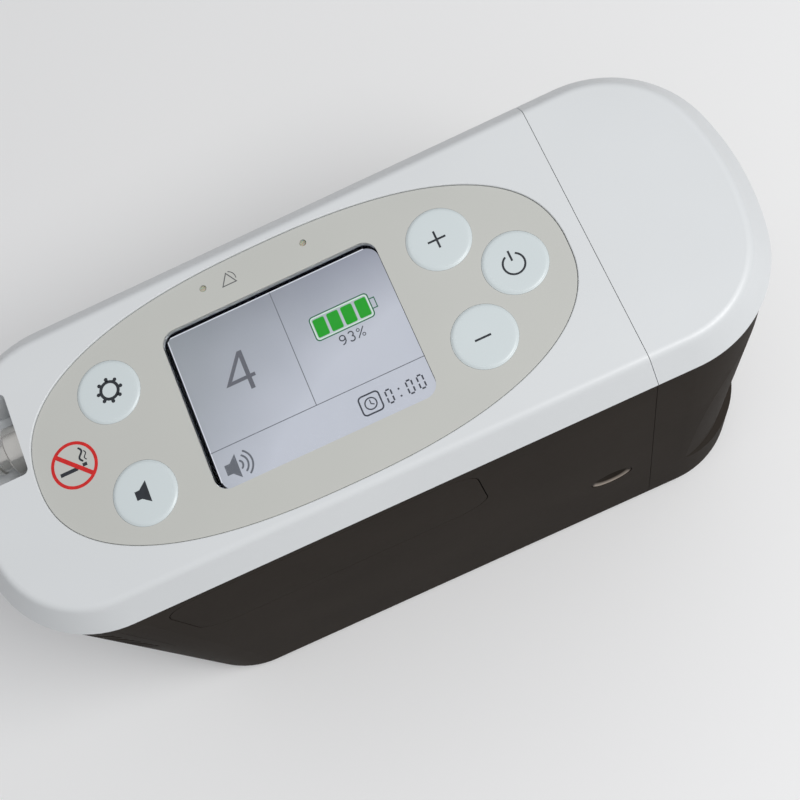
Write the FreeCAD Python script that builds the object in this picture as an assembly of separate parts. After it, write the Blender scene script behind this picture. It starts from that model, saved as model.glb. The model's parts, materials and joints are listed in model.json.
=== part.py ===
"""Portable oxygen concentrator, in millimetres.

Frame: origin at the middle of the base on the floor, +X along the length towards the battery pack,
-Y towards the wall with the filter door, +Z up. Each piece is one node, written as its own STEP file.
"""

import FreeCAD, Part
import math
import os

from FreeCAD import Vector

os.makedirs("parts", exist_ok=True)

# ---------------------------------------------------------------- driving dimensions
LENGTH = 221.0
WIDTH = 85.0
HEIGHT = 160.0
CORNER_R = 32.0        # plan radius of the four corners
END_R = 75.0           # plan radius of the two ends
FOOT_H = 1.6
WALL = 2.4             # housing wall
DRAFT = 1.4            # how far the side walls lean in, from the cover down to the base
BASE_R = 5.0           # rounding of the bottom edge

BAND_H = 7.3           # height of the sloping band round the white cover
BAND_IN = 5.3          # how far the band slopes in
CREASE_R = 2.6         # soft edge between the band and the top
SHADOW_STEP = 0.4      # the dark walls stand this far inside the cover's edge
TOP_THICK = 2.8

SEAM_X = 66.5          # plane where the battery pack meets the rest
SEAM_GAP = 0.16

PANEL_X = -12.6        # centre of the oval control panel
PANEL_HALF_L = 74.4
PANEL_HALF_W = 34.9
PANEL_POWER = 2.4      # exponent of the panel's superellipse
PANEL_GAP = 0.14
PANEL_RECESS_R = 0.3   # rounding of the cover's edge round the panel
PANEL_EDGE_R = 0.15
PANEL_TOP = 159.6
PANEL_THICK = 1.2
FLOOR_Z = 156.2        # underside of the cover below the panel

WINDOW = (-44.0, 17.1, -22.9, 22.9)
WINDOW_R = 4.0
LCD_TOP = 156.4
BOARD_Z = 148.6
BOARD_T = 1.6
MAT_Z = 152.0
MAT_T = 1.0

BUTTON_R = 8.0
BUTTON_GAP = 0.22
BUTTON_TRAVEL = 0.4
BUTTON_TOP = 159.95
BUTTONS = {
    "plus_button": (32.7, 14.5),
    "minus_button": (32.7, -14.5),
    "power_button": (47.6, 0.0),
    "settings_button": (-61.4, 14.6),
    "mute_button": (-61.4, -14.6),
}
PINHOLES = [(-28.5, 30.0), (0.3, 29.8)]
PINHOLE_R = 0.95

NOTCH_X = -88.0        # end wall of the outlet notch
NOTCH_Y = (3.5, 27.0)
NOTCH_Z = 143.5
NOTCH_WALL = 1.8
NOZZLE = (14.3, 150.7)  # y and z of the outlet's axis
NOZZLE_COLLAR_R = 6.7
NOZZLE_COLLAR_L = 5.6
NOZZLE_R = 4.2
NOTCH_CORNER_R = 1.6

DOOR = (-72.0, 16.0, 104.0, 147.0)
DOOR_R = 10.0
DOOR_T = 1.9
DOOR_GAP = 0.3

RELEASE = (53.0, 60.0)
RELEASE_R = 6.6
RELEASE_DISH = (10.5, 2.2)  # radius and depth of the dish in the release button
SPRING_SEAT = -31.6    # y of the plate behind the release spring
SPRING_R = 2.6
SPRING_WIRE_R = 0.3
SPRING_TURNS = 4
TERMINALS = (-4.5, -1.5, 1.5, 4.5)

GRIP_Z = (30.0, 38.0, 147.0)  # lip, deepest level and upper end of the finger grip on the battery pack
GRIP_DEPTH = 3.6
GRIP_FADE = 0.5        # the grip's form stands this far outside the walls where it fades out
GRIP_WALL = 1.8

SHELF = (76.0, 79.0)   # the chassis shelf's underside and top
SHELF_INSET = 3.6

CRANK = (-25.0, 38.0)  # x and z of the crank's axis, which runs along Y
THROW = 1.5
BORE_R = 9.5

COLUMN_X = 46.0
COLUMN_Y = 16.0
COLUMN_R = 14.5
COLUMN_Z = (12.0, 118.0)

FAN = (-86.0, -14.0, 115.0)
FAN_SIZE = 40.0
FAN_T = 12.0

CELL_R = 9.2
CELL_L = 65.0
CELLS = [(78.3, -21.2), (78.3, 21.2), (93.4, -10.5), (93.4, 10.5)]
CELL_LAYERS = [8.0, 76.0]

PEG_R = 3.0
PEGS = [(-30.0, 30.0), (-30.0, 125.0), (30.0, 30.0), (30.0, 125.0)]

INLET_Z = 24.0
INLET_R = 5.5
INLET_SIZE = (9.0, 10.0)   # half width and half height of the inlet's pocket
FLAP_HINGE = (-107.9, 31.0)  # x and z of the flap's hinge pin
FLAP_KNUCKLE_R = 1.0

TANK_R = 15.0
TANK_X = (-56.0, 6.0)
TANK_Y = -10.0
TANK_Z = 101.0

TUBE_R = 2.8
TUBE_BORE_R = 1.9
MUFFLER = (-84.0, 56.0)  # x and lower end of the intake muffler

COVER_SCREWS = [(-78.0, -36.0), (-78.0, 36.0), (58.0, -36.0), (58.0, 36.0)]
BASE_SCREWS = [(-70.0, -30.0), (-70.0, 30.0), (20.0, -30.0), (20.0, 30.0)]
FEET = [(-82.0, -20.0), (-82.0, 20.0), (48.0, -24.0), (48.0, 24.0)]
FILTER_X = -78.5         # axis of the outlet filter, below the nozzle's elbow
PULSE_X = (-72.0, -59.0)
BOARD_FACE = 33.4        # y of the main board's component side
MAIN_BOARD_T = 1.6

BAND_Z = HEIGHT - BAND_H
CORNER_Y = WIDTH / 2 - CORNER_R
END_X = LENGTH / 2 - END_R
CORNER_X = END_X + math.sqrt((END_R - CORNER_R) ** 2 - CORNER_Y ** 2)
END_TILT = math.asin(CORNER_Y / (END_R - CORNER_R))
FAR = 400.0


# ---------------------------------------------------------------- shape helpers
def box(x0, x1, y0, y1, z0, z1):
    return Part.makeBox(x1 - x0, y1 - y0, z1 - z0, Vector(x0, y0, z0))


def cyl(radius, start, direction, length):
    return Part.makeCylinder(radius, length, Vector(*start), Vector(*direction))


def ring(outer, inner, start, direction, length):
    return cyl(outer, start, direction, length).cut(cyl(inner, start, direction, length))


def fuse(shapes):
    whole = shapes[0]
    if len(shapes) > 1:
        whole = whole.multiFuse(shapes[1:])
    return whole.removeSplitter()


def cut(shape, *tools):
    for tool in tools:
        shape = shape.cut(tool)
    return shape


def group(shapes):
    return Part.makeCompound(shapes)


def arc(centre, radius, first, last, z):
    """An arc about centre, from angle first to angle last in radians."""
    points = []
    for angle in (first, (first + last) / 2, last):
        points.append(Vector(centre[0] + radius * math.cos(angle), centre[1] + radius * math.sin(angle), z))
    return Part.Arc(*points).toShape()


def outline(inset, z):
    """The plan outline moved in by inset: two straight sides, four corner arcs and two end arcs."""
    corner = CORNER_R - inset
    end = END_R - inset
    half = WIDTH / 2 - inset
    quarter = math.pi / 2
    turn = math.pi
    edges = [
        Part.LineSegment(Vector(-CORNER_X, -half, z), Vector(CORNER_X, -half, z)).toShape(),
        arc((CORNER_X, -CORNER_Y), corner, -quarter, -END_TILT, z),
        arc((END_X, 0), end, -END_TILT, END_TILT, z),
        arc((CORNER_X, CORNER_Y), corner, END_TILT, quarter, z),
        Part.LineSegment(Vector(CORNER_X, half, z), Vector(-CORNER_X, half, z)).toShape(),
        arc((-CORNER_X, CORNER_Y), corner, quarter, turn - END_TILT, z),
        arc((-END_X, 0), end, turn - END_TILT, turn + END_TILT, z),
        arc((-CORNER_X, -CORNER_Y), corner, turn + END_TILT, turn + quarter, z),
    ]
    return Part.Wire(edges)


def slab(inset, z0, z1, inset_top=None):
    """A solid between two heights, inside the plan outline."""
    if inset_top is None:
        inset_top = inset
    return Part.makeLoft([outline(inset, z0), outline(inset_top, z1)], True, True)


def oval(inset, z0, z1):
    """A solid with the control panel's superellipse outline."""
    points = []
    steps = 48
    for step in range(steps):
        angle = 2 * math.pi * step / steps
        c = math.cos(angle)
        s = math.sin(angle)
        x = PANEL_X + (PANEL_HALF_L - inset) * math.copysign(abs(c) ** (2 / PANEL_POWER), c)
        y = (PANEL_HALF_W - inset) * math.copysign(abs(s) ** (2 / PANEL_POWER), s)
        points.append(Vector(x, y, z0))
    curve = Part.BSplineCurve()
    curve.interpolate(Points=points, PeriodicFlag=True)
    return Part.Face(Part.Wire([curve.toShape()])).extrude(Vector(0, 0, z1 - z0))


def fillet_along(shape, radius, direction):
    """Round the straight edges that run along one direction."""
    edges = []
    for edge in shape.Edges:
        run = edge.Vertexes[-1].Point.sub(edge.Vertexes[0].Point)
        if run.Length > 1e-6 and abs(abs(run.normalize().dot(Vector(*direction))) - 1) < 1e-6:
            edges.append(edge)
    return shape.makeFillet(radius, edges)


def rims(shape):
    """The round edges of a turned shape, without its seam lines."""
    return [e for e in shape.Edges if isinstance(e.Curve, Part.Circle)]


def edges_at(shape, z):
    """The edges that lie in the horizontal plane at height z."""
    return [e for e in shape.Edges if abs(e.BoundBox.ZMin - z) < 1e-4 and abs(e.BoundBox.ZMax - z) < 1e-4]


def freeform(edges):
    return [e for e in edges if isinstance(e.Curve, Part.BSplineCurve)]


def wall_inset(z):
    """How far the dark wall's outer face is inside the outline at height z."""
    return SHADOW_STEP + DRAFT * (BAND_Z - z) / (BAND_Z - FOOT_H)


def body(depth):
    """The dark housing's outer form, moved in by depth."""
    low = FOOT_H + depth
    solid = slab(wall_inset(low) + depth, low, BAND_Z, wall_inset(BAND_Z) + depth)
    solid = solid.makeFillet(BASE_R - min(depth, BASE_R - 1), edges_at(solid, low))
    return solid.cut(grip(min(depth, GRIP_WALL)))


def grip(depth):
    """What the finger grip takes off the battery pack's end: the wall leans in, down to a lip."""
    lip, deep, high = GRIP_Z
    sections = []
    for z, shift in ((lip, 0), (deep, GRIP_DEPTH + GRIP_FADE), (high, 0)):
        section = outline(wall_inset(z) + depth - GRIP_FADE, z)
        section.translate(Vector(-shift, 0, 0))
        sections.append(section)
    return box(SEAM_X, FAR, -FAR, FAR, lip, high).cut(Part.makeLoft(sections, True, True))


def pipe(points, bend, outer, inner):
    """A tube along straight runs joined by tangent arcs."""
    route = [Vector(*p) for p in points]
    edges = []
    start = route[0]
    for before, corner, after in zip(route, route[1:], route[2:]):
        back = before.sub(corner).normalize()
        ahead = after.sub(corner).normalize()
        half_turn = math.acos(max(-1.0, min(1.0, -back.dot(ahead)))) / 2
        reach = bend * math.tan(half_turn)
        first = corner.add(back * reach)
        last = corner.add(ahead * reach)
        towards = back.add(ahead).normalize()
        middle = corner.add(towards * (bend / math.cos(half_turn) - bend))
        edges.append(Part.LineSegment(start, first).toShape())
        edges.append(Part.Arc(first, middle, last).toShape())
        start = last
    edges.append(Part.LineSegment(start, route[-1]).toShape())
    path = Part.Wire(edges)
    heading = route[1].sub(route[0])
    skins = []
    for radius in (outer, inner):
        circle = Part.Wire([Part.Circle(route[0], heading, radius).toShape()])
        skins.append(path.makePipeShell([circle], True, True))
    return skins[0].cut(skins[1])


def export(name, shape):
    shape.exportStep("parts/" + name + ".step")


MAIN_SIDE = box(-FAR, SEAM_X - SEAM_GAP / 2, -FAR, FAR, -FAR, FAR)
PACK_SIDE = box(SEAM_X + SEAM_GAP / 2, FAR, -FAR, FAR, -FAR, FAR)
NEAR_HALF = box(-FAR, FAR, -FAR, 0, -FAR, FAR)
FAR_HALF = box(-FAR, FAR, 0, FAR, -FAR, FAR)
BODY = body(0)
CAVITY = body(WALL)


# ---------------------------------------------------------------- white cover and control panel
def window_prism(grow, z0, z1):
    x0, x1, y0, y1 = WINDOW
    prism = box(x0 - grow, x1 + grow, y0 - grow, y1 + grow, z0, z1)
    return fillet_along(prism, WINDOW_R + grow, (0, 0, 1))


def notch(grow):
    prism = box(-FAR, NOTCH_X + grow, NOTCH_Y[0] - grow, NOTCH_Y[1] + grow, NOTCH_Z - grow, FAR)
    return fillet_along(prism, NOTCH_CORNER_R + grow, (0, 0, 1))


def cover_shell():
    """The whole white cover, before the seam parts it: band, soft crease, flat top and a lip below."""
    outer = slab(0, BAND_Z, HEIGHT, BAND_IN)
    outer = outer.makeFillet(CREASE_R, edges_at(outer, HEIGHT))
    inner_top = HEIGHT - TOP_THICK
    inner = slab(TOP_THICK, BAND_Z - 1, inner_top, TOP_THICK + BAND_IN * 0.8)
    lip_inset = wall_inset(BAND_Z) + WALL + 0.2
    lip = slab(lip_inset, BAND_Z - 3, BAND_Z + 1).cut(slab(lip_inset + 1.4, BAND_Z - 4, BAND_Z + 2))
    return fuse([outer.cut(inner), lip])


def make_top_cover():
    cover = cover_shell().common(MAIN_SIDE)
    pad = oval(-2.0, FLOOR_Z, HEIGHT - 1.0)
    pocket = notch(NOTCH_WALL).common(fuse([body(0), slab(0, BAND_Z, HEIGHT, BAND_IN)]))
    pocket = pocket.common(box(-FAR, FAR, -FAR, FAR, -FAR, HEIGHT - 1.5))
    cover = fuse([cover, pad, pocket])
    tools = [
        notch(0),
        oval(0, PANEL_TOP - PANEL_THICK, HEIGHT + 1),
        window_prism(1.6, FLOOR_Z - 1, HEIGHT),
        cyl(2.1, (NOTCH_X - 1, NOZZLE[0], NOZZLE[1]), (1, 0, 0), 5),
    ]
    for x, y in BUTTONS.values():
        tools.append(cyl(BUTTON_R + BUTTON_GAP, (x, y, FLOOR_Z - 1), (0, 0, 1), 10))
    for x, y in PINHOLES:
        tools.append(cyl(PINHOLE_R, (x, y, FLOOR_Z - 1), (0, 0, 1), 10))
    cover = cut(cover, *tools)
    cover = cover.makeFillet(PANEL_RECESS_R, freeform(edges_at(cover, HEIGHT)))
    bosses = [cyl(3.0, (x, y, BAND_Z - 6), (0, 0, 1), 8.2) for x, y in COVER_SCREWS]
    holes = [cyl(1.0, (x, y, BAND_Z - 7), (0, 0, 1), 8) for x, y in COVER_SCREWS]
    return cut(fuse([cover] + bosses), *holes)


def make_control_panel():
    panel = oval(PANEL_GAP, PANEL_TOP - PANEL_THICK, PANEL_TOP)
    tools = [window_prism(0, 100, FAR)]
    for x, y in BUTTONS.values():
        tools.append(cyl(BUTTON_R + BUTTON_GAP, (x, y, 100), (0, 0, 1), 100))
    for x, y in PINHOLES:
        tools.append(cyl(PINHOLE_R, (x, y, 100), (0, 0, 1), 100))
    panel = cut(panel, *tools)
    return panel.makeFillet(PANEL_EDGE_R, freeform(edges_at(panel, PANEL_TOP)))


def make_display():
    glass = window_prism(-0.12, PANEL_TOP - PANEL_THICK, PANEL_TOP - 0.1)
    frame_low = LCD_TOP - 1.0
    frame = window_prism(1.5, frame_low, PANEL_TOP - PANEL_THICK).cut(window_prism(-0.05, frame_low - 1, FAR))
    x0, x1, y0, y1 = WINDOW
    module = box(x0 + 0.2, x1 - 0.2, y0 + 0.2, y1 - 0.2, BOARD_Z + BOARD_T + 1.2, LCD_TOP)
    module = fillet_along(module, 3.6, (0, 0, 1))
    export("display_window", glass)
    export("display_frame", frame)
    export("display_module", module)


def make_button(x, y):
    """Cap with a soft rim, a retaining flange under the cover, and a stem that reaches the keypad mat."""
    cap = cyl(BUTTON_R, (x, y, FLOOR_Z - 1.2), (0, 0, 1), BUTTON_TOP - FLOOR_Z + 1.2)
    cap = cap.makeFillet(0.55, edges_at(cap, BUTTON_TOP))
    flange = cyl(BUTTON_R + 1.2, (x, y, FLOOR_Z - 1.2), (0, 0, 1), 1.0)
    stem_low = MAT_Z + MAT_T + BUTTON_TRAVEL + 0.2
    stem = cyl(2.0, (x, y, stem_low), (0, 0, 1), FLOOR_Z - 1.2 - stem_low)
    return fuse([cap, flange, stem])


def make_keypad():
    trim = box(-73, 60, -FAR, FAR, -FAR, FAR)
    lcd_room = window_prism(1.7, 100, FAR)
    pinholes = [cyl(PINHOLE_R + 0.1, (x, y, 100), (0, 0, 1), 100) for x, y in PINHOLES]
    mat = oval(3.4, MAT_Z, MAT_Z + MAT_T).common(trim)
    board = oval(3.4, BOARD_Z, BOARD_Z + BOARD_T).common(trim)
    switches = []
    for x, y in BUTTONS.values():
        low = BOARD_Z + BOARD_T
        switch = box(x - 3, x + 3, y - 3, y + 3, low, MAT_Z - 0.4)
        switches.append(fuse([switch, cyl(1.7, (x, y, low), (0, 0, 1), MAT_Z - low)]))
    pipes = []
    for x, y in PINHOLES:
        low = BOARD_Z + BOARD_T
        pipes.append(cyl(PINHOLE_R - 0.05, (x, y, low), (0, 0, 1), PANEL_TOP - 0.7 - low))
    export("keypad_mat", cut(mat, lcd_room, *pinholes))
    export("display_board", group([board] + switches))
    export("indicator_light_pipes", group(pipes))


# ---------------------------------------------------------------- dark housing
def skin_panel(depth, prism):
    """A piece of the housing's outer skin, depth thick, inside a prism."""
    return BODY.cut(body(depth)).common(prism)


def door_prism(grow):
    x0, x1, z0, z1 = DOOR
    prism = box(x0 - grow, x1 + grow, -WIDTH, -30, z0 - grow, z1 + grow)
    return fillet_along(prism, DOOR_R + grow, (0, 1, 0))


def intake_prism(grow):
    return box(-FAR, -84 + grow, -FAR, -9 + grow, 100 - grow, 146 + grow)


def exhaust_prism(grow):
    prism = box(-52 - grow, 2 + grow, 30, WIDTH, 22 - grow, 58 + grow)
    return fillet_along(prism, 4 + grow, (0, 1, 0))


def base_prism(grow):
    plate = slab(9.5 - grow, -1, 20)
    return plate.common(box(-FAR, 58 + grow, -FAR, FAR, -FAR, FAR))


def make_shells():
    hollow = BODY.cut(CAVITY).common(MAIN_SIDE)
    hollow = cut(hollow, notch(NOTCH_WALL), base_prism(0.2), inlet_prism(0.05, 8.0))
    near_wall = -WIDTH / 2
    ledge = box(DOOR[0] - 3, DOOR[1] + 3, near_wall + 3.2, near_wall + 5.2, DOOR[2] - 3, DOOR[3] - 0.6)
    opening = box(DOOR[0] + 4, DOOR[1] - 4, -WIDTH, 0, DOOR[2] + 4, DOOR[3] - 2.5)
    button_hole = cyl(RELEASE_R + 0.3, (RELEASE[0], -WIDTH, RELEASE[1]), (0, 1, 0), WIDTH / 2 + 6)
    near = cut(hollow.common(NEAR_HALF), door_prism(DOOR_GAP), intake_prism(0.15))
    near = fuse([near, ledge.common(BODY)] + screw_lugs(-1))
    export("front_shell", cut(near, opening, button_hole, *screw_holes()))
    far = cut(hollow.common(FAR_HALF), exhaust_prism(0.15))
    export("rear_shell", cut(fuse([far] + screw_lugs(1)), *screw_holes()))


def screw_lugs(side):
    """Lugs inside the shells, under the cover's bosses and over the base cover's edge."""
    lugs = []
    for x, y in COVER_SCREWS:
        if y * side > 0:
            reach = sorted((y - 4 * side, side * WIDTH / 2))
            lug = box(x - 4.5, x + 4.5, reach[0], reach[1], BAND_Z - 9, BAND_Z - 6.05)
            lugs.append(lug.common(BODY))
    for x, y in BASE_SCREWS:
        if y * side > 0:
            reach = sorted((y - 4 * side, side * WIDTH / 2))
            lug = box(x - 4, x + 4, reach[0], reach[1], FOOT_H + WALL, FOOT_H + WALL + 5)
            lugs.append(lug.common(BODY))
    return lugs


def screw_holes():
    upper = [cyl(1.5, (x, y, BAND_Z - 10), (0, 0, 1), 5) for x, y in COVER_SCREWS]
    lower = [cyl(1.25, (x, y, FOOT_H + WALL - 1), (0, 0, 1), 8) for x, y in BASE_SCREWS]
    return upper + lower


def make_grilles():
    intake = skin_panel(2.0, intake_prism(0))
    tools = []
    for row in range(8):
        z = 104.0 + 5.0 * row
        for y0, y1 in ((-40.6, -31.5), (-30.0, -21.5), (-20.0, -12.0)):
            tools.append(box(-FAR, -87, y0, y1, z, z + 2.6))
    export("intake_grille", cut(intake, *tools))
    exhaust = skin_panel(2.0, exhaust_prism(0))
    slots = [box(x, x + 2.6, 0, WIDTH, 26, 54) for x in [-49.0 + 5.0 * n for n in range(10)]]
    export("exhaust_grille", cut(exhaust, *slots))


def make_door():
    door = skin_panel(DOOR_T, door_prism(0))
    x0, x1, z0, z1 = DOOR
    tabs = [box(x - 2, x + 2, -WIDTH / 2 + 1.4, -WIDTH / 2 + 6.4, z0 + 6, z0 + 8) for x in (x0 + 12, x1 - 12)]
    export("filter_door", fuse([door] + tabs))
    foam = box(x0 + 5, x1 - 5, -WIDTH / 2 + 2.8, -WIDTH / 2 + 5.8, z0 + 8, z1 - 3.5)
    export("intake_filter", foam)


def make_base():
    plate = base_prism(0).common(box(-FAR, FAR, -FAR, FAR, FOOT_H, FOOT_H + WALL))
    feet = []
    holes = []
    for x, y in FEET:
        pad = cyl(6.5, (x, y, 0), (0, 0, 1), FOOT_H)
        pad = pad.makeFillet(0.6, edges_at(pad, 0))
        feet.append(fuse([pad, cyl(2.0, (x, y, 0), (0, 0, 1), FOOT_H + WALL)]))
        holes.append(cyl(2.05, (x, y, -1), (0, 0, 1), 10))
    screws = []
    for x, y in BASE_SCREWS:
        head = cyl(3.0, (x, y, FOOT_H + 0.2), (0, 0, 1), 1.2)
        head = head.cut(box(x - 2, x + 2, y - 0.4, y + 0.4, FOOT_H, FOOT_H + 0.8))
        screws.append(fuse([head, cyl(1.2, (x, y, FOOT_H + 1.0), (0, 0, 1), 6)]))
        holes.append(cyl(3.1, (x, y, FOOT_H - 1), (0, 0, 1), 2.4))
        holes.append(cyl(1.3, (x, y, FOOT_H - 1), (0, 0, 1), 10))
    export("base_cover", cut(plate, *holes))
    export("rubber_feet", group(feet))
    for x, y in COVER_SCREWS:
        head = cyl(2.6, (x, y, BAND_Z - 11), (0, 0, 1), 2)
        screws.append(fuse([head, cyl(0.98, (x, y, BAND_Z - 9.5), (0, 0, 1), 9)]))
    export("housing_screws", group(screws))


def make_chassis():
    low, high = SHELF
    shelf = slab(SHELF_INSET, low, high).common(box(-103, 61.5, -FAR, FAR, -FAR, FAR))
    saddles = [box(x, x + 3, -22, 2, high, 92) for x in (-46, 0)]
    tank = cyl(TANK_R + 0.05, (-60, TANK_Y, TANK_Z), (1, 0, 0), 80)
    holes = [cyl(COLUMN_R + 0.4, (COLUMN_X, side * COLUMN_Y, 0), (0, 0, 1), 200) for side in (-1, 1)]
    air = box(-96, -74, -28, 28, 0, 200)
    tube_hole = cyl(4.0, (22, 0, 0), (0, 0, 1), 200)
    return cut(fuse([shelf] + saddles), tank, air, tube_hole, *holes)


# ---------------------------------------------------------------- air path
def make_nozzle():
    """Steel barb and collar in the notch, with an elbow to the outlet filter below."""
    y, z = NOZZLE
    collar = cyl(NOZZLE_COLLAR_R, (NOTCH_X - NOZZLE_COLLAR_L, y, z), (1, 0, 0), NOZZLE_COLLAR_L)
    collar = collar.makeFillet(0.6, rims(collar))
    barb = cyl(NOZZLE_R, (NOTCH_X - 17, y, z), (1, 0, 0), 14)
    tip = Part.makeCone(3.1, 4.7, 4.0, Vector(NOTCH_X - 18.5, y, z), Vector(1, 0, 0))
    step = Part.makeCone(3.8, 4.8, 3.0, Vector(NOTCH_X - 12.5, y, z), Vector(1, 0, 0))
    stem = cyl(2.0, (NOTCH_X - 1, y, z), (1, 0, 0), FILTER_X + 3 - NOTCH_X)
    drop = cyl(2.0, (FILTER_X, y, z - 8), (0, 0, 1), 10)
    channel = cyl(1.2, (NOTCH_X - 20, y, z), (1, 0, 0), FILTER_X + 20 - NOTCH_X)
    down = cyl(1.2, (FILTER_X, y, z - 9), (0, 0, 1), 9)
    export("outlet_nozzle", cut(fuse([collar, barb, tip, step, stem, drop]), channel, down))
    top = z - 8
    housing = cyl(6.0, (FILTER_X, y, top - 20), (0, 0, 1), 20)
    housing = housing.makeFillet(1.0, rims(housing))
    neck = cyl(2.0, (FILTER_X, y, top - 24), (0, 0, 1), 5)
    export("outlet_filter", fuse([housing, neck]))


def make_sieve():
    low, high = COLUMN_Z
    starts = [(COLUMN_X, side * COLUMN_Y, low) for side in (-1, 1)]
    inner = COLUMN_R - 1.2
    export("sieve_columns", group([ring(COLUMN_R, inner, at, (0, 0, 1), high - low) for at in starts]))
    export("sieve_beds", group([cyl(inner, at, (0, 0, 1), high - low) for at in starts]))
    x0, x1 = COLUMN_X - 15, COLUMN_X + 15
    foot = fillet_along(box(x0, x1, -31, 31, FOOT_H + WALL + 2.2, low), 6, (0, 0, 1))
    feed = cyl(1.5, (x0 - 1, 0, low - 2.9), (1, 0, 0), 8)
    export("sieve_bottom_cap", foot.cut(feed))
    block = fillet_along(box(x0, x1, -31, 31, high, high + 10), 6, (0, 0, 1))
    port = cyl(3.2, (x0 - 5, -10, high + 5), (1, 0, 0), 6)
    bore = cyl(1.5, (x0 - 6, -10, high + 5), (1, 0, 0), 10)
    export("valve_manifold", fuse([block, port]).cut(bore))
    valves = []
    for x, y in ((38, -19), (38, 19), (38, -6), (38, 6)):
        coil = fillet_along(box(x - 5, x + 5, y - 5, y + 5, high + 10, high + 22), 1.5, (0, 0, 1))
        valves.append(fuse([coil, cyl(2.5, (x, y, high + 22), (0, 0, 1), 2.5)]))
    pulse = fillet_along(box(PULSE_X[0], PULSE_X[1], 6, 22, 96, 112), 2, (0, 0, 1))
    spout_x = sum(PULSE_X) / 2
    valves.append(fuse([pulse, cyl(2.0, (spout_x, 3.0, TANK_Z), (0, 1, 0), 4)]))
    export("solenoid_valves", group(valves))


def make_tank():
    x0, x1 = TANK_X
    wall = 1.6
    tank = cyl(TANK_R, (x0, TANK_Y, TANK_Z), (1, 0, 0), x1 - x0)
    tank = tank.makeFillet(4.0, rims(tank))
    inside = cyl(TANK_R - wall, (x0 + wall, TANK_Y, TANK_Z), (1, 0, 0), x1 - x0 - 2 * wall)
    inside = inside.makeFillet(3.0, rims(inside))
    spouts = [cyl(3.2, (x, TANK_Y, TANK_Z), (1, 0, 0), 6) for x in (x0 - 5, x1 - 1)]
    bores = [cyl(1.5, (x, TANK_Y, TANK_Z), (1, 0, 0), 10) for x in (x0 - 6, x1 - 4)]
    export("product_tank", cut(fuse([tank.cut(inside)] + spouts), *bores))


def make_tubes():
    """Silicone tubes, held all the way between two ports; each has its own bend radius."""
    cx, cz = CRANK
    manifold = (COLUMN_X - 20, TANK_Y, COLUMN_Z[1] + 5)
    spout_in = TANK_X[1] + 5
    middle = (manifold[0] + spout_in) / 2
    product = [manifold, (middle, TANK_Y, manifold[2]), (middle, TANK_Y, TANK_Z), (spout_in, TANK_Y, TANK_Z)]
    cap_face = COLUMN_X - 15
    feed_z = COLUMN_Z[0] - 2.9
    head_port = cx + 47
    half_way = (head_port + cap_face) / 2
    supply = [(head_port, 0, cz), (half_way, 0, cz), (half_way, 0, feed_z), (cap_face, 0, feed_z)]
    suction = [(cx - 47, 0, cz), (MUFFLER[0], 0, cz), (MUFFLER[0], 0, MUFFLER[1])]
    spout_out = TANK_X[0] - 5
    spout_x = sum(PULSE_X) / 2
    pulse = [(spout_out, TANK_Y, TANK_Z), (spout_x, TANK_Y, TANK_Z), (spout_x, 3.0, TANK_Z)]
    neck_z = NOZZLE[1] - 32
    outlet = [(FILTER_X, NOZZLE[0], neck_z), (FILTER_X, NOZZLE[0], 104), (PULSE_X[0], NOZZLE[0], 104)]
    routes = [(product, 6.0), (supply, 4.3), (suction, 8.0), (pulse, 4.3), (outlet, 5.0)]
    export("silicone_tubes", group([pipe(points, bend, TUBE_R, TUBE_BORE_R) for points, bend in routes]))
    muffler = cyl(8.0, (MUFFLER[0], 0, MUFFLER[1]), (0, 0, 1), 17)
    export("intake_muffler", muffler.makeFillet(1.5, rims(muffler)))


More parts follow.
